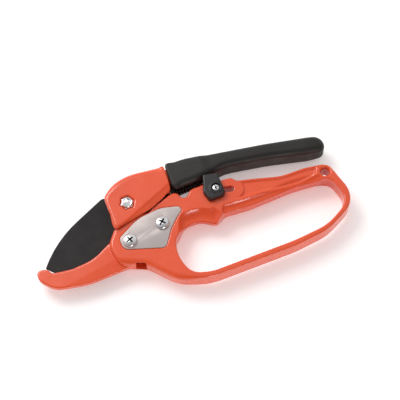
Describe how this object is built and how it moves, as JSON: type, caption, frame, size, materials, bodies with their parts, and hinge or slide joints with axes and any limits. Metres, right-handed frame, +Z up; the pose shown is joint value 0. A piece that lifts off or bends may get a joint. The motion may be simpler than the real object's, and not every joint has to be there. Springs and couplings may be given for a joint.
{
  "type": "ratchet pruning shears",
  "caption": "Hand pruner with a hooked frame and knuckle guard, a swinging blade, a ratchet link, a gripped upper handle and a sliding lock.",
  "frame": {"origin": "bottom centre of the bounding box, with the tool lying on its back side", "axes": "+X from the hook's tip to the rear end of the guard, +Y from the knuckle guard to the grip, +Z up through the thickness, out of the side with the plate and the lock"},
  "size_m": [0.2104, 0.0845, 0.0222],
  "materials": {
    "frame_enamel": "glossy enamel on a zinc casting",
    "handle_enamel": "glossy enamel on a zinc casting",
    "grip_rubber": "satin soft grip",
    "blade_coating": "matte low-friction coating on steel",
    "plate_steel": "brushed",
    "chrome": "polished",
    "zinc_steel": "zinc plated",
    "bronze": "oiled sintered bronze",
    "link_black": "blackened steel",
    "spring_black": "blackened spring wire",
    "lock_plastic": "satin moulded plastic"
  },
  "bodies": {
    "frame": {"lower_frame": "frame_enamel", "side_plate": "plate_steel", "blade_screw": "chrome", "link_screw": "chrome", "blade_nut": "zinc_steel", "link_nut": "zinc_steel", "blade_bush": "bronze", "link_bush": "bronze", "blade_spacer": "zinc_steel", "link_spacer": "zinc_steel", "spring_washers": "bronze", "spring_post": "zinc_steel", "return_spring": "spring_black"},
    "blade": {"blade": "blade_coating"},
    "handle": {"upper_handle": "handle_enamel", "grip_sleeve": "grip_rubber", "handle_bolt": "zinc_steel", "handle_nut": "chrome", "handle_bush": "bronze", "handle_spacers": "zinc_steel", "tooth_pin": "zinc_steel"},
    "link": {"ratchet_link": "link_black"},
    "lock": {"lock_slider": "lock_plastic", "lock_screw": "chrome", "lock_guide": "zinc_steel", "lock_washer": "zinc_steel"}
  },
  "joints": [
    {"name": "blade_pivot", "type": "hinge", "parent": "frame", "child": "blade", "pos_m": [-0.0425, -0.00575, 0.0102], "axis": [0, 0, -1], "range_deg": [0, 25]},
    {"name": "handle_pivot", "type": "hinge", "parent": "blade", "child": "handle", "pos_m": [-0.0385, 0.01975, 0.0102], "axis": [0, 0, 1], "range_deg": [0, 50]},
    {"name": "link_pivot", "type": "hinge", "parent": "frame", "child": "link", "pos_m": [-0.0195, 0.00125, 0.0102], "axis": [0, 0, -1], "range_deg": [0, 5], "deforming": ["return_spring"]},
    {"name": "lock_slide", "type": "slide", "parent": "frame", "child": "lock", "axis": [0.9903, -0.1392, 0], "range_m": [0, 0.01]}
  ],
  "couplings": [
    {"joint": "handle_pivot", "follows": "blade_pivot", "ratio": 2},
    {"joint": "link_pivot", "follows": "blade_pivot", "ratio": 0.2}
  ]
}
